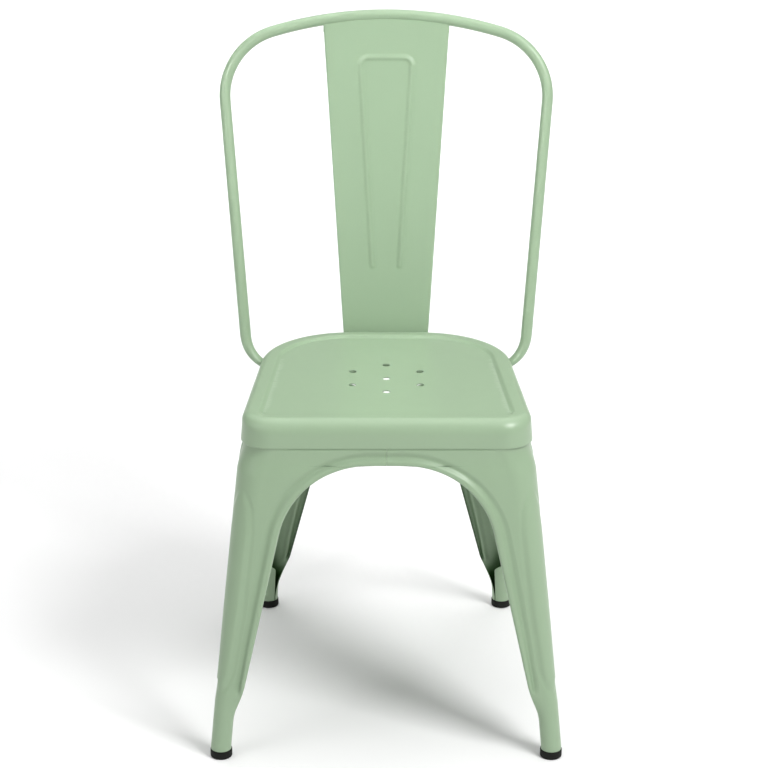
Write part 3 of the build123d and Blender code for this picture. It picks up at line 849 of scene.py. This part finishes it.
def hoop_half():
    """Middle line of the right half, from the crown to where the end starts to bend."""
    crown_y = HOOP_LENGTH - HOOP_CROWN_RADIUS
    side_angle = math.atan(HOOP_SPREAD)
    corner_x, corner_y = hoop_corner(crown_y, side_angle)
    crown_turn = math.atan2(corner_x, corner_y - crown_y)
    points = []
    for turn in np.linspace(0.0, crown_turn, HOOP_CROWN_ROWS):
        x = HOOP_CROWN_RADIUS * math.sin(turn)
        points.append(on_hoop(x, crown_y + HOOP_CROWN_RADIUS * math.cos(turn)))
    for turn in evenly(crown_turn, math.pi / 2 + side_angle, HOOP_CORNER_ROWS):
        x = corner_x + HOOP_CORNER_RADIUS * math.sin(turn)
        points.append(on_hoop(x, corner_y + HOOP_CORNER_RADIUS * math.cos(turn)))
    top = points[-1]
    foot = on_hoop(HOOP_BASE_HALF - HOOP_SPREAD * HOOP_STRAIGHT, -HOOP_STRAIGHT)
    for share in evenly(0.0, 1.0, HOOP_SIDE_ROWS):
        points.append(mix(top, foot, share))
    return points, (foot - top) / np.linalg.norm(foot - top)


def hoop_end(foot, down):
    """Middle line and half sizes of the end, which bends in to the seat's corner and flattens."""
    rear_reach = SEAT_REAR_RADIUS / math.tan((math.pi / 2 + SEAT_TAPER) / 2)
    centre = np.array([SEAT_REAR_HALF - rear_reach, SEAT_REAR_Y - SEAT_REAR_RADIUS, 0.0])
    out = np.array([math.cos(HOOP_END_TURN), math.sin(HOOP_END_TURN), 0.0])
    end = centre + out * (SEAT_REAR_RADIUS - HOOP_END_SINK) + np.array([0, 0, HOOP_END_Z])
    c1 = foot + down * HOOP_END_BEND
    c2 = end + out * HOOP_END_REACH[0] + np.array([0, 0, HOOP_END_REACH[1]])
    points, sizes = [], []
    for t in evenly(0.0, 1.0, HOOP_END_ROWS):
        s = 1 - t
        points.append(s**3 * foot + 3 * s * s * t * c1 + 3 * s * t * t * c2 + t**3 * end)
        wide = float(np.interp(t, HOOP_END_SHARES, HOOP_END_WIDE))
        deep = float(np.interp(t, HOOP_END_SHARES, HOOP_END_DEEP))
        sizes.append((wide, deep))
    return points, sizes


def make_hoop():
    half, down = hoop_half()
    end, end_sizes = hoop_end(half[-1], down)
    sizes = [(HOOP_RADIUS, HOOP_RADIUS)] * len(half) + end_sizes
    half += end
    points = [p * np.array([-1, 1, 1]) for p in half[:0:-1]] + half
    sizes = sizes[:0:-1] + sizes
    verts = []
    for i, point in enumerate(points):
        before = points[max(i - 1, 0)]
        after = points[min(i + 1, len(points) - 1)]
        ahead = (after - before) / np.linalg.norm(after - before)
        level = np.array([0.0, 1.0, 0.0])
        level = level - ahead * level.dot(ahead)
        level /= np.linalg.norm(level)
        other = np.cross(ahead, level)
        wide, deep = sizes[i]
        for k in range(HOOP_AROUND):
            a = 2 * math.pi * k / HOOP_AROUND
            verts.append(tuple(point + level * wide * math.cos(a) + other * deep * math.sin(a)))
    faces = ring_faces(len(points), HOOP_AROUND)
    faces.append(tuple(range(HOOP_AROUND)))
    faces.append(tuple(range(len(verts) - HOOP_AROUND, len(verts))))
    new_object("back_hoop_tube", verts, faces, green, ["back_hoop"])


make_hoop()

# --- splat --------------------------------------------------------------------
SPLAT_LEAN = 0.175          # how fast it leans back, per mm of height
SPLAT_BEND_Z = 452.0
SPLAT_SOFT = 14.0           # how gently the splat bends out of the upright
SPLAT_OFF = 0.3             # its foot stands this far off the skirt
SPLAT_LOW_Z = 404.0
SPLAT_TOP_Z = 861.0
SPLAT_TOP_CUT = 2.5         # the middle of its top edge lies this far below SPLAT_TOP_Z
SPLAT_LEVEL_Z = 840.0       # the mesh rows are level up to here
SPLAT_TOP_WIDE_Z = 850.0    # above SPLAT_LEVEL_Z it's as wide as at this height
SPLAT_TOP_ROWS = 10
SPLAT_HALF_LOW = 58.8
SPLAT_SPREAD = 0.0641
SPLAT_RETURN = 10.0
SPLAT_BEND_IN = 2.6
SPLAT_ACROSS = 118
BEAD_TOP_Z = 808.0
BEAD_LOW_Z = 529.0
BEAD_HALF_LOW = 18.6
BEAD_HALF_TOP = 35.3
BEAD_CORNER = 11.0
BEAD_HALF_WIDE = 5.2
BEAD_HIGH = 2.1
BEAD_ROWS_LOW_Z = 500.0     # the mesh rows lie close together between these heights
BEAD_ROWS_TOP_Z = 822.0


def leant_back(z):
    """How far back the splat's soft bend has carried it by height z."""
    rise = z - SPLAT_BEND_Z
    return SPLAT_LEAN * 0.5 * (rise + math.hypot(rise, SPLAT_SOFT))


def splat_y(z):
    """Front face of the splat at height z."""
    return SEAT_REAR_Y + SPLAT_OFF + leant_back(z) - leant_back(SPLAT_LOW_Z)


def splat_half(z):
    return SPLAT_HALF_LOW + SPLAT_SPREAD * (z - RIM_Z)


def bead_distance(x, z):
    """Distance from the middle line of the bead, an upside-down U with open ends."""
    x = abs(x)
    spread = (BEAD_HALF_TOP - BEAD_HALF_LOW) / (BEAD_TOP_Z - BEAD_LOW_Z)
    side_x = BEAD_HALF_LOW + spread * (z - BEAD_LOW_Z)
    corner_x = BEAD_HALF_TOP - BEAD_CORNER
    corner_z = BEAD_TOP_Z - BEAD_CORNER
    if z < BEAD_LOW_Z:
        return math.hypot(x - BEAD_HALF_LOW, z - BEAD_LOW_Z)
    if z > corner_z and x > corner_x:
        return abs(math.hypot(x - corner_x, z - corner_z) - BEAD_CORNER)
    if z > corner_z or x < corner_x:
        return min(abs(z - BEAD_TOP_Z), abs(x - side_x))
    return abs(x - side_x)


def bead_height(x, z):
    d = bead_distance(x, z)
    if d >= BEAD_HALF_WIDE:
        return 0.0
    return BEAD_HIGH * 0.5 * (1 + math.cos(math.pi * d / BEAD_HALF_WIDE))


def splat_section(half):
    """(x, back, normal) across the splat: return, bend, face, bend, return."""
    side = []
    for k in range(7):
        side.append((half, mix(SPLAT_RETURN, SPLAT_BEND_IN, k / 7), (1.0, 0.0)))
    for k in range(9):
        a = math.pi / 2 * k / 8
        x = half - SPLAT_BEND_IN * (1 - math.cos(a))
        side.append((x, SPLAT_BEND_IN * (1 - math.sin(a)), (math.cos(a), -math.sin(a))))
    flat = half - SPLAT_BEND_IN
    middle = []
    for k in range(1, SPLAT_ACROSS):
        middle.append((mix(flat, -flat, k / SPLAT_ACROSS), 0.0, (0.0, -1.0)))
    other = [(-x, back, (-nx, ny)) for x, back, (nx, ny) in reversed(side)]
    return side + middle + other


def splat_rows():
    """(height, half width, share) of each row; share leads up to the curved top edge."""
    heights = [SPLAT_LOW_Z, *evenly(SPLAT_LOW_Z, BEAD_ROWS_LOW_Z, 43)]
    heights += evenly(BEAD_ROWS_LOW_Z, BEAD_ROWS_TOP_Z, 229)
    heights += evenly(BEAD_ROWS_TOP_Z, SPLAT_LEVEL_Z, 7)
    rows = [(z, splat_half(z), 0.0) for z in heights]
    for k in range(1, SPLAT_TOP_ROWS + 1):
        rows.append((SPLAT_LEVEL_Z, splat_half(SPLAT_TOP_WIDE_Z), k / SPLAT_TOP_ROWS))
    return rows


def make_splat():
    outer, inner = [], []
    for level, half, share in splat_rows():
        row_out, row_in = [], []
        for x, back, (nx, ny) in splat_section(half):
            # the top edge follows the underside of the hoop's crown
            crown = SPLAT_TOP_Z - SPLAT_TOP_CUT - x * x / (2 * HOOP_CROWN_RADIUS)
            z = mix(level, crown, share)
            high = bead_height(x, z) if back == 0.0 else 0.0
            y = splat_y(z) + back - high
            row_out.append((x, y, z))
            row_in.append((x - nx * SHEET, y - ny * SHEET, z))
        outer.append(row_out)
        inner.append(row_in)
    verts, faces = shell(outer, inner)
    obj = new_object("back_splat_pressing", verts, faces, green, ["back_splat"])
    round_edges(obj)


make_splat()

# --- feet ---------------------------------------------------------------------
# Radius and height round the cup's section, from under its middle to inside its floor.
CUP_UNDER = 0.0
CUP_FLOOR = 5.0
CUP_SECTION = (
    (12.2, CUP_UNDER),
    (13.1, 0.25),
    (13.7, 0.9),
    (13.95, 1.8),
    (14.0, 3.0),
    (13.95, 9.6),
    (13.8, 10.4),
    (13.45, 10.85),
    (13.1, 10.95),
    (13.02, 10.6),
    (13.0, CUP_FLOOR),
)
CUP_AROUND = 64


def foot_cup(x, y):
    """Vertices and faces of a rubber cup standing at x, y."""
    verts = []
    for radius, z in CUP_SECTION:
        verts += [(*point, z) for point in circle(x, y, radius, CUP_AROUND)]
    faces = ring_faces(len(CUP_SECTION), CUP_AROUND)
    under, floor = len(verts), len(verts) + 1
    verts += [(x, y, CUP_UNDER), (x, y, CUP_FLOOR)]
    last = (len(CUP_SECTION) - 1) * CUP_AROUND
    for k in range(CUP_AROUND):
        after = (k + 1) % CUP_AROUND
        faces.append((under, after, k))
        faces.append((floor, last + k, last + after))
    return verts, faces


def make_feet():
    for where, leg, flip_y in (("front", FRONT_LEG, 1), ("rear", REAR_LEG, -1)):
        x, y = tube_middle(leg_corner(leg, FOOT_Z))
        for hand, flip_x in (("right", 1), ("left", -1)):
            verts, faces = foot_cup(x * flip_x, y * flip_y)
            name = f"{where}_{hand}_foot"
            new_object(f"{name}_cap", verts, faces, rubber, [name])


make_feet()

# --- cross brace --------------------------------------------------------------
BRACE_HIGH = 20.0
BRACE_THICK = 3.0
BRACE_TOP_Z = 409.0
BRACE_LOW_Z = BRACE_TOP_Z - BRACE_HIGH
BRACE_CLEAR = 0.4           # between a strip's end and the leg
BRACE_CUT = 6.0             # size of the clipped corners at a strip's ends
BRACE_NEAR = 4.0            # how near to the diagonal a leg's point counts
BRACE_SLACK = 0.15          # between the strips, at each side of a slot
SLOT_HALF = BRACE_THICK / 2 + BRACE_SLACK


def brace_reach(leg, y_way):
    """Distance from the brace's crossing to the leg's inner surface, at 45 degrees."""
    faces = leg_faces(leg)
    reaches = []
    for z in np.linspace(BRACE_LOW_Z, BRACE_TOP_Z, 9):
        for x, y, _ in leg_row(leg, faces, z)[1]:
            off_y = y * y_way - SEAT_Y
            if abs(abs(off_y) - x) < BRACE_NEAR:
                reaches.append(math.hypot(x, off_y))
    return min(reaches) - BRACE_CLEAR - BRACE_THICK / 2


def brace_outline(front, rear, slot_low):
    """(along, height) points of a strip with a slot for the other one."""
    low, high = BRACE_LOW_Z, BRACE_TOP_Z
    edge, other, way = (low, high, 1) if slot_low else (high, low, -1)
    middle = (low + high) / 2
    return [
        (-front, other - way * BRACE_CUT),
        (-front, edge + way * BRACE_CUT),
        (-front + BRACE_CUT, edge),
        (-SLOT_HALF, edge),
        (-SLOT_HALF, middle),
        (SLOT_HALF, middle),
        (SLOT_HALF, edge),
        (rear - BRACE_CUT, edge),
        (rear, edge + way * BRACE_CUT),
        (rear, other - way * BRACE_CUT),
        (rear - BRACE_CUT, other),
        (-front + BRACE_CUT, other),
    ]


def make_braces():
    front = brace_reach(FRONT_LEG, 1)
    rear = brace_reach(REAR_LEG, -1)
    for name, hand, slot_low in (("brace_upper_strip", 1, True), ("brace_lower_strip", -1, False)):
        outline = brace_outline(front, rear, slot_low)
        turn = math.radians(45.0 * hand)
        along = (math.cos(turn) * hand, math.sin(turn) * hand)
        across = (-along[1], along[0])
        verts = []
        for side in (-BRACE_THICK / 2, BRACE_THICK / 2):
            for t, z in outline:
                x = along[0] * t + across[0] * side
                verts.append((x, SEAT_Y + along[1] * t + across[1] * side, z))
        count = len(outline)
        faces = [tuple(range(count)), tuple(range(2 * count - 1, count - 1, -1))]
        for k in range(count):
            after = (k + 1) % count
            faces.append((k, after, count + after, count + k))
        obj = new_object(f"{name}_bar", verts, faces, green, [name])
        obj.data.polygons.foreach_set("use_smooth", [False] * len(obj.data.polygons))
        round_edges(obj, width=0.5, angle=20.0)


make_braces()

# --- stage, in metres ---------------------------------------------------------
FLOOR_HALF = 6.0
FLOOR_COLOUR = (0.93, 0.93, 0.93, 1.0)
WORLD_COLOUR = (1.0, 1.0, 1.0, 1.0)
WORLD_STRENGTH = 0.24


def make_floor():
    mesh = bpy.data.meshes.new("floor")
    corners = ((-1, -1), (1, -1), (1, 1), (-1, 1))
    mesh.from_pydata([(x * FLOOR_HALF, y * FLOOR_HALF, 0) for x, y in corners], [], [(0, 1, 2, 3)])
    obj = bpy.data.objects.new("floor", mesh)
    bpy.context.collection.objects.link(obj)
    material = bpy.data.materials.new("floor_white")
    material.use_nodes = True
    shader = material.node_tree.nodes["Principled BSDF"]
    shader.inputs["Base Color"].default_value = FLOOR_COLOUR
    shader.inputs["Roughness"].default_value = 0.9
    mesh.materials.append(material)
    return obj


floor = make_floor()

world = bpy.data.worlds.new("studio")
bpy.context.scene.world = world
world.use_nodes = True
background = world.node_tree.nodes["Background"]
background.inputs["Color"].default_value = WORLD_COLOUR
background.inputs["Strength"].default_value = WORLD_STRENGTH


def area_light(name, place, target, size, power, spread=180.0):
    """A soft rectangular light, spread in degrees."""
    light = bpy.data.lights.new(name, "AREA")
    light.shape = "RECTANGLE"
    light.size, light.size_y = size
    light.energy = power
    light.spread = math.radians(spread)
    obj = bpy.data.objects.new(name, light)
    bpy.context.collection.objects.link(obj)
    obj.location = place
    aim = Vector(target) - Vector(place)
    obj.rotation_euler = aim.to_track_quat("-Z", "Y").to_euler()


area_light("key", (1.9, -1.7, 2.9), (0, 0, 0.45), (1.2, 1.2), 90.0)
area_light("top", (0.0, 0.6, 4.5), (0, 0.3, 0.0), (5.0, 5.0), 150.0)
area_light("fill", (-3.4, -2.0, 2.2), (0, 0, 0.6), (2.0, 2.0), 22.0)
area_light("backdrop", (0.0, 3.6, 3.2), (0.0, 6.0, 0.0), (6.0, 2.0), 170.0)
area_light("back", (-1.3, -2.4, 2.5), (-0.03, 0.2, 0.78), (0.5, 0.5), 0.75, 22.0)

# --- camera -------------------------------------------------------------------
CAMERA_PLACE = (-14.0, SEAT_Y - 2800.0, 1449.0)
PITCH = math.radians(20.1)
YAW = math.radians(0.2)
ROLL = math.radians(0.13)
SENSOR = 36.0
FOCAL_LENGTH = 106.734375
SHIFT_X = 0.001171875       # in widths of the picture
SHIFT_Y = 0.00247395833

right = Vector((math.cos(YAW), -math.sin(YAW), 0.0))
level = Vector((math.sin(YAW), math.cos(YAW), 0.0))
forward = level * math.cos(PITCH) - Vector((0, 0, 1)) * math.sin(PITCH)
up = level * math.sin(PITCH) + Vector((0, 0, 1)) * math.cos(PITCH)
camera_x = right * math.cos(ROLL) + up * math.sin(ROLL)
camera_y = up * math.cos(ROLL) - right * math.sin(ROLL)
turned = Matrix((camera_x, camera_y, -forward)).transposed()
camera_data = bpy.data.cameras.new("camera")
camera_data.sensor_width = SENSOR
camera_data.lens = FOCAL_LENGTH
camera_data.shift_x = SHIFT_X
camera_data.shift_y = SHIFT_Y
camera = bpy.data.objects.new("camera", camera_data)
bpy.context.collection.objects.link(camera)
camera.matrix_world = Matrix.Translation(Vector(CAMERA_PLACE) * MM) @ turned.to_4x4()
bpy.context.scene.camera = camera

view = bpy.context.scene.view_settings
view.view_transform = "Standard"
view.look = "None"
view.exposure = 0.0
